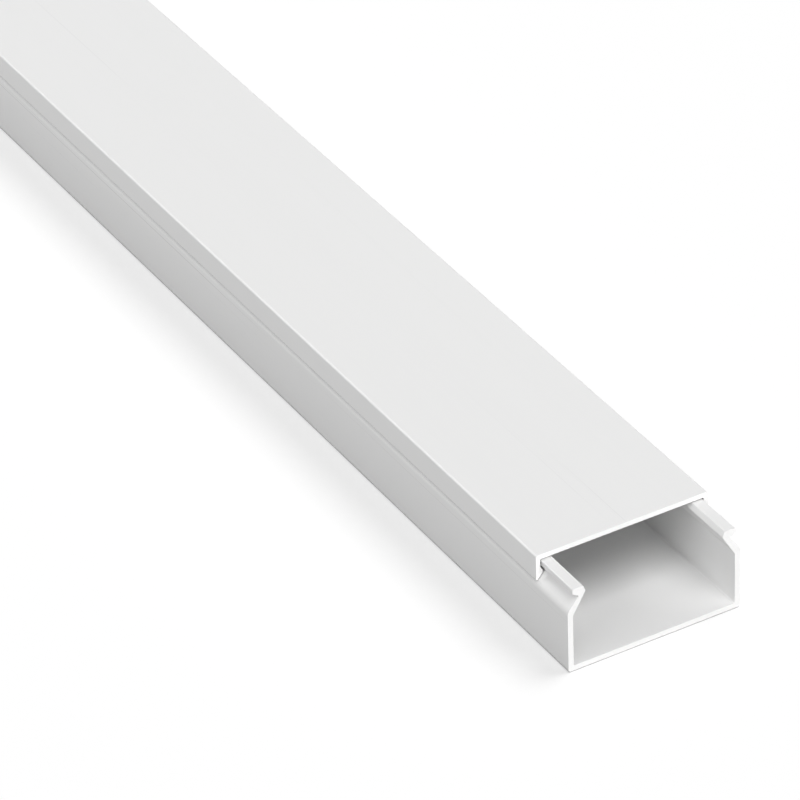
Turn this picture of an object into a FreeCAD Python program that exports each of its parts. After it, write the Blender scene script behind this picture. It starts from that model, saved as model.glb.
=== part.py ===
"""Cord cover raceway: a snap-lock base channel and its cover, each one extrusion.

X runs along the raceway. At its near end, +X, the base stands proud of the cover, which is slid
back along it. Y runs across, and Z is up, away from the wall or floor that the base is fixed to.
The origin is the middle of the base's underside. Millimetres.
"""
import FreeCAD, Part
import math
import os

# Driving dimensions of the pair
length = 1000.0            # both pieces, as sold
width = 40.0               # across the outer walls
height = 21.0              # underside of the base to the top of the seated cover
cover_setback = 11.5       # how far the cover is slid back from the base's near end

# Driving dimensions of the base's section
wall_thickness = 1.2
floor_thickness = 1.2
slope_angle = 40.0         # degrees that the upper wall leans in from upright
slope_root_thickness = 1.65    # sloping wall where it leaves the upright one
slope_throat_thickness = 0.95  # sloping wall just under the lip
lip_edge_thickness = 1.2
lip_underside_angle = 28.0     # degrees that the lip's underside falls toward its root
lip_edge_radius = 0.25     # along the lip's top outer edge, which the cover rides over
nose_height = 1.3          # blunt inner edge of the lip
nose_depth = 0.5
base_corner_radius = 0.6   # under the base, outside
floor_corner_radius = 0.4  # inside, floor to wall
shoulder_radius = 2.3      # outside, upright wall to sloping wall
bend_radius = 0.6          # inside, upright wall to sloping wall
root_radius = 0.25         # under the lip

# Driving dimensions of the cover's section
plate_thickness = 1.1
flange_thickness = 1.0
flange_depth = 5.8         # top of the cover to the tip of its flange
barb_reach = 0.7           # how far the barb stands in from the flange
barb_extra_lean = 1.0      # degrees that the barb's lower face leans in beyond the base's slope
flange_tip_width = 0.3
flange_tip_radius = 0.1
cover_edge_radius = 0.45
cover_corner_radius = 0.3  # inside, plate to flange
edge_break = 0.12          # the small radius that every other edge comes out of the die with

# Clearances between the two pieces
seat_gap = 0.35            # cover's plate above the lip
lip_side_gap = 0.15        # lip's edge to the flange
catch_gap = 0.35           # lip's lower edge to the start of the barb
slope_gap = 0.28           # tip of the flange to the base's sloping wall, square to the slope

half_width = width / 2
half_length = length / 2


def crossing(point_a, direction_a, point_b, direction_b):
    """The point where two lines of the section cross."""
    determinant = direction_a[0] * direction_b[1] - direction_a[1] * direction_b[0]
    gap = (point_b[0] - point_a[0], point_b[1] - point_a[1])
    along = (gap[0] * direction_b[1] - gap[1] * direction_b[0]) / determinant
    return (point_a[0] + along * direction_a[0], point_a[1] + along * direction_a[1])


def mirrored_section(left_corners):
    """Closed list of corners from those of the left side, taken from the outside inward."""
    right_corners = [(-across, up, radius) for across, up, radius in reversed(left_corners)]
    return left_corners + right_corners


def rounded_face(corners):
    """Flat face in the Y-Z plane whose corners (y, z, radius) are rounded with true arcs."""
    vectors = [FreeCAD.Vector(-half_length, across, up) for across, up, _ in corners]
    starts, arcs, ends = [], [], []
    for index, (_, _, radius) in enumerate(corners):
        corner = vectors[index]
        back = (vectors[index - 1] - corner).normalize()
        ahead = (vectors[(index + 1) % len(vectors)] - corner).normalize()
        half_angle = back.getAngle(ahead) / 2
        reach = radius / math.tan(half_angle)
        middle = (back + ahead).normalize() * (radius / math.sin(half_angle) - radius)
        starts.append(corner + back * reach)
        ends.append(corner + ahead * reach)
        arcs.append(Part.Arc(starts[-1], corner + middle, ends[-1]).toShape())
    edges = []
    for index, arc in enumerate(arcs):
        edges.append(arc)
        edges.append(Part.makeLine(ends[index], starts[(index + 1) % len(starts)]))
    return Part.Face(Part.Wire(edges))


def extruded(corners, slid_back=0.0):
    """One length of the section, moved toward the far end by slid_back."""
    bar = rounded_face(mirrored_section(corners)).extrude(FreeCAD.Vector(length, 0, 0))
    bar.translate(FreeCAD.Vector(-slid_back, 0, 0))
    return bar


def base_corners():
    """Left side of the base's section, from under the floor, up the wall and back inside."""
    outside = -half_width
    lip_top = height - plate_thickness - seat_gap
    lip_edge = outside + flange_thickness + lip_side_gap
    lip_lower = lip_top - lip_edge_thickness

    slope = math.radians(slope_angle)
    beside_the_tip = flange_tip_width + slope_gap / math.cos(slope)
    shoulder = (outside, height - flange_depth - beside_the_tip / math.tan(slope))
    up_the_slope = (math.sin(slope), math.cos(slope))
    into_the_wall = (math.cos(slope), -math.sin(slope))
    fall = math.radians(lip_underside_angle)
    under_the_lip = (math.cos(fall), -math.sin(fall))
    root = crossing(shoulder, up_the_slope, (lip_edge, lip_lower), under_the_lip)

    inner_low = (shoulder[0] + slope_root_thickness * into_the_wall[0],
                 shoulder[1] + slope_root_thickness * into_the_wall[1])
    inner_high = (root[0] + slope_throat_thickness * into_the_wall[0],
                  root[1] + slope_throat_thickness * into_the_wall[1])
    up_the_inside = (inner_high[0] - inner_low[0], inner_high[1] - inner_low[1])
    inner_wall = outside + wall_thickness
    bend = crossing(inner_low, up_the_inside, (inner_wall, 0), (0, 1))
    nose = crossing(inner_low, up_the_inside, (0, lip_top - nose_height), (1, 0))

    return [(outside, 0, base_corner_radius),
            (*shoulder, shoulder_radius),
            (*root, root_radius),
            (lip_edge, lip_lower, edge_break),
            (lip_edge, lip_top, lip_edge_radius),
            (nose[0] - nose_depth, lip_top, edge_break),
            (*nose, edge_break),
            (*bend, bend_radius),
            (inner_wall, floor_thickness, floor_corner_radius)]


def cover_corners():
    """Left side of the cover's section, from its top edge, down the flange and back inside."""
    outside = -half_width
    flange_inside = outside + flange_thickness
    flange_tip = height - flange_depth
    barb_start = height - plate_thickness - seat_gap - lip_edge_thickness - catch_gap
    barb_point = flange_inside + barb_reach
    tip_inside = outside + flange_tip_width
    lead_in = math.radians(slope_angle + barb_extra_lean)
    barb_level = flange_tip + (barb_point - tip_inside) / math.tan(lead_in)

    return [(outside, height, cover_edge_radius),
            (outside, flange_tip, flange_tip_radius),
            (tip_inside, flange_tip, flange_tip_radius),
            (barb_point, barb_level, edge_break),
            (flange_inside, barb_start, edge_break),
            (flange_inside, height - plate_thickness, cover_corner_radius)]


def base_channel():
    return extruded(base_corners())


def snap_cover():
    return extruded(cover_corners(), slid_back=cover_setback)


def main():
    os.makedirs("parts", exist_ok=True)
    for node, shape in {"base_channel": base_channel(), "snap_cover": snap_cover()}.items():
        shape.exportStep(f"parts/{node}.step")
        box = shape.BoundBox
        print(f"{node}: valid {shape.isValid()}, {shape.Volume / 1000:.1f} cm3, "
              f"{box.XLength:.1f} x {box.YLength:.1f} x {box.ZLength:.1f} mm")


main()
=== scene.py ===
# %% [markdown]
# A cord cover raceway is two plastic extrusions that clip together: an open channel that is stuck
# or screwed to a wall, and a flat cover that hides the cords in it. Both come off the extruder as
# endless white bars and are sawn to a metre. Their solids are already right, so this lesson
# dresses them: a camera, a studio, and a finish that tells die-drawn plastic from a sawn end.

# %% Load the fixed frame
import math

import bpy
from mathutils import Matrix, Vector


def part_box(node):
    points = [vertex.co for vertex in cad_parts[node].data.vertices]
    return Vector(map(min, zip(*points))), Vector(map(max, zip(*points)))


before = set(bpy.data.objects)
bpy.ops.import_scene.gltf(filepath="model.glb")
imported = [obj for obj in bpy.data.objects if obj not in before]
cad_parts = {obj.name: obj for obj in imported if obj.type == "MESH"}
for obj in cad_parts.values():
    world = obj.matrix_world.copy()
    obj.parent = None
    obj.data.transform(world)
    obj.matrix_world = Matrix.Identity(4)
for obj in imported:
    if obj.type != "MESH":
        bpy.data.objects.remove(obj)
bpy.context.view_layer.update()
MM = 0.001
base_low, base_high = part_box("base_channel")
cover_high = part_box("snap_cover")[1]
near_end, far_end = base_high.x, base_low.x
half_width = base_high.y
top = cover_high.z
print(f"base {near_end - far_end:.3f} m long, {2 * half_width / MM:.1f} mm wide, "
      f"cover slid back {(near_end - cover_high.x) / MM:.1f} mm, top at {top / MM:.1f} mm")

# %% [markdown]
# The camera comes first, because it decides what has to look right. The photograph looks down at
# the near end from its left front corner through a long lens, which keeps the bar's long edges
# almost parallel. A target point on the bar, a bearing, a height angle and a distance place the
# camera more readably than a matrix would. The last two degrees are a roll about its own axis.

# %% Camera
FRAME_PIXELS = 800
SENSOR_WIDTH = 36.0
FOCAL_PIXELS = 5219.0
BEARING = math.radians(60.68)
HEIGHT_ANGLE = math.radians(34.24)
ROLL = math.radians(-2.21)
CAMERA_DISTANCE = 1.0794
TARGET_FROM_THE_END = 0.08593
TARGET_ACROSS = -0.00710
FARTHEST_SEEN = 20.0


def direction(bearing, height_angle):
    """Unit vector from the bar toward something seen at that bearing and height angle."""
    level = math.cos(height_angle)
    return Vector((math.sin(bearing) * level, -math.cos(bearing) * level, math.sin(height_angle)))


camera_data = bpy.data.cameras.new("camera")
camera_data.sensor_width = SENSOR_WIDTH
camera_data.lens = FOCAL_PIXELS / FRAME_PIXELS * SENSOR_WIDTH
camera_data.clip_end = FARTHEST_SEEN
camera = bpy.data.objects.new("camera", camera_data)
bpy.context.scene.collection.objects.link(camera)
bpy.context.scene.camera = camera
target = Vector((near_end - TARGET_FROM_THE_END, TARGET_ACROSS, top / 2))
looking_back = direction(BEARING, HEIGHT_ANGLE)
upright = looking_back.to_track_quat("Z", "Y").to_matrix()
camera.rotation_mode = "QUATERNION"
camera.rotation_quaternion = (upright @ Matrix.Rotation(ROLL, 3, "Z")).to_quaternion()
camera.location = target + looking_back * CAMERA_DISTANCE
print(f"camera at {[round(value, 3) for value in camera.location]}, {camera_data.lens:.0f} mm lens")

# %% [markdown]
# White plastic on a white ground is drawn by its shadows alone, so each face needs its own level.
# Lamps of the sun kind with a wide disc act like large softboxes far away: they light a metre of
# bar evenly, which a softbox close to one end would not. The side lamp stands low on the left and
# sets the upright sides and the sloping walls. The front lamp stands high beyond the near end and
# sets the top and the channel's floor. A low card under it brings the sawn ends to white and
# hardly reaches that floor. The edge lamp stands on the left toward the far end. The bar's rounded
# edges mirror it into the camera, which draws a thin bright line along them. The fill lamp lights
# the sides that the camera doesn't see.
#
# In the photograph the bar's soft shadow falls to the left, which none of those lamps gives. A
# photographer would light the paper apart from the object, and Blender can too. So the paper has
# a lamp of its own, high on the right. Its disc is 30 degrees wide, so the shadow is full for a
# few millimetres and then fades out.

# %% Lamps
LAMP_DISTANCE = 2.0  # where a lamp's mark stands; a sun lights the same from any distance


def soft_lamp(name, bearing, height_angle, disc, strength):
    """A far lamp at that bearing and height angle, in degrees, as wide as its disc."""
    lamp_data = bpy.data.lights.new(name, "SUN")
    lamp_data.angle = math.radians(disc)
    lamp_data.energy = strength
    lamp = bpy.data.objects.new(name, lamp_data)
    bpy.context.scene.collection.objects.link(lamp)
    toward = direction(math.radians(bearing), math.radians(height_angle))
    lamp.rotation_mode = "QUATERNION"
    lamp.rotation_quaternion = toward.to_track_quat("Z", "Y")
    lamp.location = toward * LAMP_DISTANCE
    return lamp


bar_lamps = [
    soft_lamp("side_lamp", bearing=14, height_angle=26, disc=50, strength=1.27),
    soft_lamp("front_lamp", bearing=90, height_angle=64, disc=38, strength=1.85),
    soft_lamp("low_card", bearing=90, height_angle=8, disc=16, strength=1.48),
    soft_lamp("edge_lamp", bearing=-61, height_angle=34, disc=14, strength=0.46),
    soft_lamp("fill_lamp", bearing=202, height_angle=13, disc=40, strength=0.95)]
paper_lamp = soft_lamp("paper_lamp", bearing=180, height_angle=65, disc=30, strength=2.50)
print("lamps for the bar:", [lamp.name for lamp in bar_lamps], "and one for the paper")

# %% [markdown]
# A material is a small program of nodes. To read it as one, this class wraps an output socket,
# so that adding or multiplying two of them places the Math node that does it. Every other node
# comes from one method: first the node's own settings, then a value or a socket for each input.

# %% A socket that can be reckoned with


class Wire:
    """One output socket in a tree of nodes. Arithmetic on it adds the Math nodes it needs."""

    def __init__(self, tree, socket=None):
        self.tree = tree
        self.socket = socket

    def node(self, kind, settings=(), inputs=(), output=0):
        """Place a node, give it its settings, fill its inputs and return one of its outputs."""
        made = self.tree.nodes.new(kind)
        for name, value in dict(settings).items():
            setattr(made, name, value)
        for name, value in dict(inputs).items():
            if isinstance(value, Wire):
                self.tree.links.new(value.socket, made.inputs[name])
            else:
                made.inputs[name].default_value = value
        return Wire(self.tree, made.outputs[output]) if len(made.outputs) else None

    def beside(self, output):
        """Another output of the node that this one comes from."""
        return Wire(self.tree, self.socket.node.outputs[output])

    def reckon(self, operation, *values):
        """A Math node that does one operation on values or wires."""
        return self.node("ShaderNodeMath", {"operation": operation}, enumerate(values))

    def __add__(self, other):
        return self.reckon("ADD", self, other)

    __radd__ = __add__

    def __mul__(self, other):
        return self.reckon("MULTIPLY", self, other)

    __rmul__ = __mul__

    def __sub__(self, other):
        return self.reckon("SUBTRACT", self, other)

    def __rsub__(self, other):
        return self.reckon("SUBTRACT", other, self)

    def above(self, low, high):
        """0 below low, 1 above high, and a smooth step between."""
        settings = {"interpolation_type": "SMOOTHSTEP"}
        return self.node("ShaderNodeMapRange", settings,
                         {"Value": self, "From Min": low, "From Max": high})

    def size(self):
        """How large it is, with its sign left off."""
        return self.reckon("ABSOLUTE", self)


def new_tree(owner):
    """An empty node tree for a material or the world."""
    owner.use_nodes = True
    owner.node_tree.nodes.clear()
    return Wire(owner.node_tree)


print("wires add, multiply and subtract; node() places everything else")

# %% [markdown]
# Grain on an extrusion runs one way. The hot plastic is drawn past a steel die, and every nick in
# the die leaves a hair-thin line that never ends. Stretching a noise pattern along the bar gives
# just that: it is sampled thousands of times a metre across the bar and a few times along it.
# Wider bands and a slow drift in the flow lie over the lines, and a fine peel roughens the skin.
# The saw leaves short strokes across the end, with softer blots between them.

# %% Patterns in the plastic
DIE_LINES = {"per_metre": (2.0, 2600.0, 2600.0), "detail": 3.0, "roughness": 0.65}
DIE_BANDS = {"per_metre": (1.5, 210.0, 210.0), "detail": 2.0, "roughness": 0.5}
FLOW = {"per_metre": (9.0, 55.0, 55.0), "detail": 2.0, "roughness": 0.5}
PEEL = {"per_metre": (1100.0, 1500.0, 1500.0), "detail": 2.0, "roughness": 0.5}
SAW_STROKES = {"per_metre": (900.0, 90.0, 2300.0), "detail": 4.0, "roughness": 0.6}
SAW_BLUR = {"per_metre": (400.0, 400.0, 400.0), "detail": 2.0, "roughness": 0.5}


def place_on_bar(tree):
    """Where a point is on its piece, in metres, and which way the surface faces there."""
    place = tree.node("ShaderNodeTexCoord", output="Object")
    return place, place.beside("Normal")


def axis_of(vector, axis):
    """One axis of a place or of the way a surface faces."""
    return vector.node("ShaderNodeSeparateXYZ", (), {"Vector": vector}, axis)


def stretched_noise(place, per_metre, detail, roughness):
    """Noise from 0 to 1 with that many grains to the metre along X, Y and Z."""
    stretched = place.node("ShaderNodeVectorMath", {"operation": "MULTIPLY"},
                           {0: place, 1: per_metre})
    return place.node("ShaderNodeTexNoise", {"noise_dimensions": "3D"},
                      {"Vector": stretched, "Scale": 1.0, "Detail": detail,
                       "Roughness": roughness}, "Fac")


print(f"die lines every {1 / MM / DIE_LINES['per_metre'][1]:.2f} mm across the bar")

# %% [markdown]
# Where white pieces meet flush, shade falls into the joint, and here that shade is painted into
# the skin's colour. An Ambient Occlusion node tells how much of a point's surroundings is shut off
# by plastic nearby. By that much the colour is darkened: painted shade under the cover's edge and
# under the lip, which moves along with the cover. It is kept off level faces and off the wall's
# foot, where paper would count too. The node needs only a few samples of its own, because every
# sample of the picture asks it again.

# %% Painted shade in the joint
PAINTED_SHADE_REACH = 2.0 * MM
PAINTED_SHADE_SAMPLES = 2
PAINTED_SHADE_DEPTH = 0.90
CLEAR_OF_FLOOR = (4 * MM, 6 * MM)
LEVEL_FACES = (0.52, 0.62)


def painted_joint_shade(place, facing):
    """How much painted shade a point of the outer skin gets, from 0 to 1, by the plastic shutting
    it off.
    """
    open_share = place.node("ShaderNodeAmbientOcclusion", {"samples": PAINTED_SHADE_SAMPLES},
                            {"Distance": PAINTED_SHADE_REACH}, "AO")
    upright = 1 - axis_of(facing, "Z").above(*LEVEL_FACES)
    return (1 - open_share) * upright * axis_of(place, "Z").above(*CLEAR_OF_FLOOR)


print(f"a joint is shaded up to {PAINTED_SHADE_REACH / MM:.1f} mm from it")

# %% [markdown]
# Rigid PVC is a dense white with a satin skin. Where the die drew it, the skin is closed and
# shines softly in lines along the bar. Inside the channel the skin is duller, since it cooled
# against air and not against the polished sizing plates. Where the saw cut it, the skin is gone:
# the end is whiter, dull, and carries the strokes of the teeth. One recipe makes all three from
# the way the surface faces and where it lies, so it stays true when the cover slides.
#
# Its numbers come in three groups. The first are colours, and how much of each is left where the
# patterns are darkest and how much each pattern lightens it. The second say how rough the three
# surfaces are, and how much the patterns change that. The last are heights for the bump.

# %% Numbers of the PVC
SKIN_WHITE = (0.829, 0.829, 0.826)
DARKEST_SKIN = 0.977
LINES_LIGHTEN = 0.012
BANDS_LIGHTEN = 0.014
FLOW_LIGHTENS = 0.016
# Painted light: the inner skin is made a little lighter, standing in for light bounced about the
# channel.
INSIDE_PAINTED_LIGHT = 0.014
SAWN_WHITE = (0.965, 0.963, 0.958)
DARKEST_SAWN = 0.960
STROKES_LIGHTEN = 0.050
BLUR_LIGHTENS = 0.030

SKIN_ROUGHNESS = 0.30
INSIDE_ROUGHNESS = 0.50
SAWN_ROUGHNESS = 0.72
LINES_ROUGHEN = 0.10
BANDS_ROUGHEN = 0.08
BLUR_ROUGHENS = 0.10
MIDDLE_GREY = 0.5

LINE_DEPTH = 0.002 * MM
PEEL_TO_LINE = 0.35
STROKE_DEPTH = 0.030 * MM
print("skin", SKIN_WHITE, "sawn end", SAWN_WHITE)

# %% [markdown]
# The recipe takes the patterns, mixes a colour, a roughness and a height from them, and hands
# those to one shader. Which points count as sawn is told by the way they face: only the two ends
# look along the bar. Where the inner skin is differs between the pieces, so each brings its own
# rule for that.

# %% The PVC recipe
FACES_ALONG = (0.80, 0.95)
PVC_IOR = 1.53
PLAIN_GLOSS = 0.5
MIX_FACTOR, MIX_FIRST, MIX_SECOND, MIX_RESULT = 0, 6, 7, 2  # a Mix node's sockets for colours


def tinted(tree, colour, share):
    """A colour made lighter or darker by a share of itself, with 1 leaving it alone."""
    return tree.node("ShaderNodeVectorMath", {"operation": "SCALE"}, {0: colour, "Scale": share})


def rigid_pvc(material, hidden_side):
    """Dress a material as extruded PVC. hidden_side says where the duller inner skin is."""
    tree = new_tree(material)
    place, facing = place_on_bar(tree)
    sawn = axis_of(facing, "X").size().above(*FACES_ALONG)
    inside = hidden_side(place, facing)

    lines = stretched_noise(place, **DIE_LINES)
    bands = stretched_noise(place, **DIE_BANDS)
    flow = stretched_noise(place, **FLOW)
    peel = stretched_noise(place, **PEEL)
    strokes = stretched_noise(place, **SAW_STROKES)
    blur = stretched_noise(place, **SAW_BLUR)

    skin_share = DARKEST_SKIN + LINES_LIGHTEN * lines + BANDS_LIGHTEN * bands
    # The inner skin's lift is painted light for the light bounced about the channel.
    skin_share = skin_share + FLOW_LIGHTENS * flow + INSIDE_PAINTED_LIGHT * inside
    # Painted shade: the outer skin's colour is darkened where plastic nearby shuts it off.
    skin_share = skin_share - PAINTED_SHADE_DEPTH * painted_joint_shade(place, facing) * (1 - inside)
    sawn_share = DARKEST_SAWN + STROKES_LIGHTEN * strokes + BLUR_LIGHTENS * blur
    colour = tree.node("ShaderNodeMix", {"data_type": "RGBA"},
                       {MIX_FACTOR: sawn, MIX_FIRST: tinted(tree, SKIN_WHITE, skin_share),
                        MIX_SECOND: tinted(tree, SAWN_WHITE, sawn_share)}, MIX_RESULT)

    skin_roughness = SKIN_ROUGHNESS + (INSIDE_ROUGHNESS - SKIN_ROUGHNESS) * inside
    skin_roughness = skin_roughness + LINES_ROUGHEN * (lines - MIDDLE_GREY)
    skin_roughness = skin_roughness + BANDS_ROUGHEN * (bands - MIDDLE_GREY)
    sawn_roughness = SAWN_ROUGHNESS + BLUR_ROUGHENS * (blur - MIDDLE_GREY)
    roughness = skin_roughness * (1 - sawn) + sawn_roughness * sawn

    skin_height = (lines + PEEL_TO_LINE * peel) * (LINE_DEPTH * (1 - sawn))
    height = skin_height + (strokes * sawn) * STROKE_DEPTH
    bump = tree.node("ShaderNodeBump", (), {"Height": height, "Strength": 1.0, "Distance": 1.0})

    shader = tree.node("ShaderNodeBsdfPrincipled", (),
                       {"Base Color": colour, "Roughness": roughness, "Normal": bump,
                        "IOR": PVC_IOR, "Specular IOR Level": PLAIN_GLOSS})
    tree.node("ShaderNodeOutputMaterial", (), {"Surface": shader})
    return material


print("sawn where the surface faces along the bar by", FACES_ALONG)

# %% [markdown]
# The inner skin is told by place and by the way it faces. A point's place across the bar times
# the way it faces across is above 0 where the surface looks away from the middle, and below 0
# where it looks at the middle. In the base the inner skin is whatever looks at the middle of the
# channel, and the floor's top. In the cover it is everything under the middle of the plate but
# the outer faces of the flanges. Each mask is a smooth step, so no hard line shows on a surface.

# %% Dress the two pieces
WALL = 1.2 * MM
OUT_OF_THE_BASE = (-0.3 * half_width, -0.1 * half_width)
FACING_UP = (0.5, 0.8)
OVER_THE_FLOOR = (2 * WALL, 3 * WALL)
OUT_OF_THE_COVER = (0.3 * half_width, 0.6 * half_width)
IN_THE_PLATE = (top - 0.9 * WALL, top - 0.7 * WALL)


def away_from_middle(place, facing):
    """Above 0 where the surface looks away from the bar's middle, below 0 where at it."""
    return axis_of(place, "Y") * axis_of(facing, "Y")


def inside_of_base(place, facing):
    """1 on the channel's inner walls and floor, 0 on the skin outside."""
    outward = away_from_middle(place, facing).above(*OUT_OF_THE_BASE)
    upward = axis_of(facing, "Z").above(*FACING_UP)
    floor_top = upward * (1 - axis_of(place, "Z").above(*OVER_THE_FLOOR))
    return facing.reckon("MAXIMUM", 1 - outward, floor_top)


def inside_of_cover(place, facing):
    """1 under the plate and on the flanges' inner faces, 0 on the skin outside."""
    outward = away_from_middle(place, facing).above(*OUT_OF_THE_COVER)
    under = 1 - axis_of(place, "Z").above(*IN_THE_PLATE)
    return under * (1 - outward)


for name, hidden_side in {"base_channel": inside_of_base, "snap_cover": inside_of_cover}.items():
    skin = rigid_pvc(bpy.data.materials.new(f"{name}_pvc"), hidden_side)
    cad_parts[name].material_slots[0].material = skin
    print(name, "wears", skin.name, "with", len(skin.node_tree.nodes), "nodes")

# %% [markdown]
# The ground is a sheet of pale paper that reaches far past the view. One square face is enough,
# as paper this size is flat. It lies a tenth of a millimetre below the base, because two faces in
# exactly the same plane flicker. It is the stage, not a part of the raceway.

# %% A sheet of paper
FLOOR_SIZE = 12.0
BELOW_THE_BASE = 0.10 * MM

floor_mesh = bpy.data.meshes.new("floor")
reach = FLOOR_SIZE / 2
floor_corners = [(-reach, -reach, 0), (reach, -reach, 0), (reach, reach, 0), (-reach, reach, 0)]
floor_mesh.from_pydata(floor_corners, [], [(0, 1, 2, 3)])
floor = bpy.data.objects.new("floor", floor_mesh)
bpy.context.scene.collection.objects.link(floor)
floor.location.z = -BELOW_THE_BASE
print(f"paper {FLOOR_SIZE:.0f} m square")

# %% [markdown]
# Light linking gives a lamp a list of what it may reach, and what it may not. Each lamp gets a
# collection with the floor in it, marked as taken in for the paper's lamp and as left out for the
# others. So the shadow on the paper can be set without changing a face of the bar.

# %% What each lamp reaches
for lamp in [*bar_lamps, paper_lamp]:
    reached = bpy.data.collections.new(f"{lamp.name}_reach")
    reached.objects.link(floor)
    whose = "INCLUDE" if lamp == paper_lamp else "EXCLUDE"
    reached.collection_objects[0].light_linking.link_state = whose
    lamp.light_linking.receiver_collection = reached
    print(lamp.name, whose.lower() + "s the floor")

# %% [markdown]
# The paper bounces light as a mid grey would, so that it doesn't flood the bar's sides from
# below. What looks straight at it sees the same paper with a glow added that lifts its lit parts
# to white. The shadow stays, because the glow is only added to what the paper's own lamp leaves
# there. Within about a third of a millimetre of the plastic an Ambient Occlusion node takes the
# glow away. That paints a hair-thin contact shadow, a dark line where the base meets the paper.

# %% Paper that is white where it is looked at
FLOOR_GREY = (0.35, 0.35, 0.35, 1.0)
FLOOR_GLOW = 0.73
CONTACT_REACH = 0.35 * MM
CONTACT_SAMPLES = 4


def seen_directly(tree):
    """1 for what the camera, a gloss or a clear piece looks at, 0 for light on its way."""
    camera_ray = tree.node("ShaderNodeLightPath", output="Is Camera Ray")
    glossy_ray = camera_ray.beside("Is Glossy Ray")
    clear_ray = camera_ray.beside("Is Transmission Ray")
    return tree.reckon("MINIMUM", camera_ray + glossy_ray + clear_ray, 1.0)


floor_material = bpy.data.materials.new("floor_paper")
tree = new_tree(floor_material)
paper = tree.node("ShaderNodeBsdfDiffuse", (), {"Color": FLOOR_GREY})
# Painted contact shadow: the glow is taken away close to the plastic.
open_share = tree.node("ShaderNodeAmbientOcclusion", {"samples": CONTACT_SAMPLES},
                       {"Distance": CONTACT_REACH})
glow = tree.node("ShaderNodeEmission", (), {"Color": open_share, "Strength": FLOOR_GLOW})
lit = tree.node("ShaderNodeAddShader", (), {0: paper, 1: glow})
ground = tree.node("ShaderNodeMixShader", (), {0: seen_directly(tree), 1: paper, 2: lit})
tree.node("ShaderNodeOutputMaterial", (), {"Surface": ground})
floor_mesh.materials.append(floor_material)
print("paper's grey", FLOOR_GREY[0], "glow", FLOOR_GLOW)

# %% [markdown]
# The world is white where it is looked at, as the photograph's background is, and gives the bar
# only a little light. More of it would fill the channel and wash out the shadows there.

# %% World
WORLD_LIGHT = 0.045
WHITE = (1, 1, 1, 1)

world = bpy.data.worlds.new("studio")
bpy.context.scene.world = world
tree = new_tree(world)
strength = WORLD_LIGHT + (1 - WORLD_LIGHT) * seen_directly(tree)
sky = tree.node("ShaderNodeBackground", (), {"Color": WHITE, "Strength": strength})
tree.node("ShaderNodeOutputWorld", (), {"Surface": sky})
print("world light", WORLD_LIGHT)

# %% [markdown]
# Last come the picture's settings. The standard view keeps a written colour as it is on screen.

# %% Settings
bpy.context.scene.view_settings.view_transform = "Standard"
